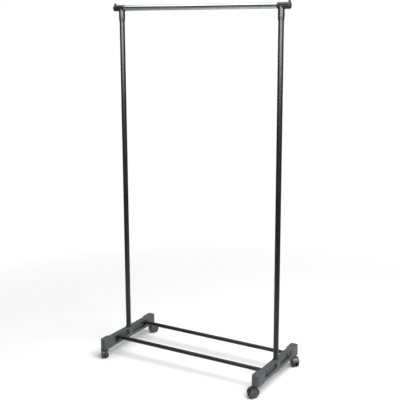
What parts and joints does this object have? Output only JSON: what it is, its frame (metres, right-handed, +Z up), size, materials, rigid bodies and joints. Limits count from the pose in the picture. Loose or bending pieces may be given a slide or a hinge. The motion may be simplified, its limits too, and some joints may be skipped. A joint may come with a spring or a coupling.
{
  "type": "valet stand",
  "caption": "Rolling clothes rack: a chromed hanging rail on black tube uprights, moulded feet joined by lower rails, and swivelling twin-wheel casters.",
  "frame": {"origin": "on the floor, below the centre of the stand's bounding box", "axes": "+Z up, X along the hanging rail, front towards -Y"},
  "size_m": [0.9226, 0.4924, 1.7325],
  "materials": {
    "black_enamel": "gloss black enamel",
    "chrome_plate": "bright chrome plating",
    "foot_plastic": "charcoal moulded plastic, fine grain",
    "fitting_plastic": "black moulded plastic, semi-gloss",
    "caster_plastic": "black nylon, satin",
    "wheel_plastic": "hard black-grey nylon tread",
    "zinc_steel": "zinc-plated steel"
  },
  "bodies": {
    "stand": {"left_foot": "foot_plastic", "left_lower_pole": "black_enamel", "left_upper_pole": "black_enamel", "left_tee": "fitting_plastic", "left_end_cap": "fitting_plastic", "left_pole_plug": "fitting_plastic", "left_pole_screw": "zinc_steel", "right_foot": "foot_plastic", "right_lower_pole": "black_enamel", "right_upper_pole": "black_enamel", "right_tee": "fitting_plastic", "right_end_cap": "fitting_plastic", "right_pole_plug": "fitting_plastic", "right_pole_screw": "zinc_steel", "hanging_rail": "chrome_plate", "front_rail": "black_enamel", "rear_rail": "black_enamel", "front_left_rail_plug": "fitting_plastic", "front_left_rail_screw": "zinc_steel", "front_left_caster_socket": "zinc_steel", "front_left_caster_stem": "zinc_steel", "front_right_rail_plug": "fitting_plastic", "front_right_rail_screw": "zinc_steel", "front_right_caster_socket": "zinc_steel", "front_right_caster_stem": "zinc_steel", "rear_left_rail_plug": "fitting_plastic", "rear_left_rail_screw": "zinc_steel", "rear_left_caster_socket": "zinc_steel", "rear_left_caster_stem": "zinc_steel", "rear_right_rail_plug": "fitting_plastic", "rear_right_rail_screw": "zinc_steel", "rear_right_caster_socket": "zinc_steel", "rear_right_caster_stem": "zinc_steel"},
    "front_left_swivel": {"front_left_caster_hood": "caster_plastic", "front_left_caster_axle": "zinc_steel"},
    "front_left_left_wheel": {"front_left_caster_left_wheel": "wheel_plastic"},
    "front_left_right_wheel": {"front_left_caster_right_wheel": "wheel_plastic"},
    "front_right_swivel": {"front_right_caster_hood": "caster_plastic", "front_right_caster_axle": "zinc_steel"},
    "front_right_left_wheel": {"front_right_caster_left_wheel": "wheel_plastic"},
    "front_right_right_wheel": {"front_right_caster_right_wheel": "wheel_plastic"},
    "rear_left_swivel": {"rear_left_caster_hood": "caster_plastic", "rear_left_caster_axle": "zinc_steel"},
    "rear_left_left_wheel": {"rear_left_caster_left_wheel": "wheel_plastic"},
    "rear_left_right_wheel": {"rear_left_caster_right_wheel": "wheel_plastic"},
    "rear_right_swivel": {"rear_right_caster_hood": "caster_plastic", "rear_right_caster_axle": "zinc_steel"},
    "rear_right_left_wheel": {"rear_right_caster_left_wheel": "wheel_plastic"},
    "rear_right_right_wheel": {"rear_right_caster_right_wheel": "wheel_plastic"}
  },
  "joints": [
    {"name": "front_left_caster_swivel", "type": "hinge", "parent": "stand", "child": "front_left_swivel", "pos_m": [-0.419, -0.201, 0.05], "axis": [0, 0, 1], "continuous": true},
    {"name": "front_left_left_wheel_spin", "type": "hinge", "parent": "front_left_swivel", "child": "front_left_left_wheel", "pos_m": [-0.43216, -0.18872, 0.023], "axis": [-0.682, -0.7314, 0], "continuous": true},
    {"name": "front_left_right_wheel_spin", "type": "hinge", "parent": "front_left_swivel", "child": "front_left_right_wheel", "pos_m": [-0.43216, -0.18872, 0.023], "axis": [-0.682, -0.7314, 0], "continuous": true},
    {"name": "front_right_caster_swivel", "type": "hinge", "parent": "stand", "child": "front_right_swivel", "pos_m": [0.419, -0.201, 0.05], "axis": [0, 0, 1], "continuous": true},
    {"name": "front_right_left_wheel_spin", "type": "hinge", "parent": "front_right_swivel", "child": "front_right_left_wheel", "pos_m": [0.41027, -0.21674, 0.023], "axis": [0.8746, -0.4848, 0], "continuous": true},
    {"name": "front_right_right_wheel_spin", "type": "hinge", "parent": "front_right_swivel", "child": "front_right_right_wheel", "pos_m": [0.41027, -0.21674, 0.023], "axis": [0.8746, -0.4848, 0], "continuous": true},
    {"name": "rear_left_caster_swivel", "type": "hinge", "parent": "stand", "child": "rear_left_swivel", "pos_m": [-0.419, 0.201, 0.05], "axis": [0, 0, 1], "continuous": true},
    {"name": "rear_left_left_wheel_spin", "type": "hinge", "parent": "rear_left_swivel", "child": "rear_left_left_wheel", "pos_m": [-0.41027, 0.21674, 0.023], "axis": [-0.8746, 0.4848, 0], "continuous": true},
    {"name": "rear_left_right_wheel_spin", "type": "hinge", "parent": "rear_left_swivel", "child": "rear_left_right_wheel", "pos_m": [-0.41027, 0.21674, 0.023], "axis": [-0.8746, 0.4848, 0], "continuous": true},
    {"name": "rear_right_caster_swivel", "type": "hinge", "parent": "stand", "child": "rear_right_swivel", "pos_m": [0.419, 0.201, 0.05], "axis": [0, 0, 1], "continuous": true},
    {"name": "rear_right_left_wheel_spin", "type": "hinge", "parent": "rear_right_swivel", "child": "rear_right_left_wheel", "pos_m": [0.43216, 0.18872, 0.023], "axis": [0.682, 0.7314, 0], "continuous": true},
    {"name": "rear_right_right_wheel_spin", "type": "hinge", "parent": "rear_right_swivel", "child": "rear_right_right_wheel", "pos_m": [0.43216, 0.18872, 0.023], "axis": [0.682, 0.7314, 0], "continuous": true}
  ]
}
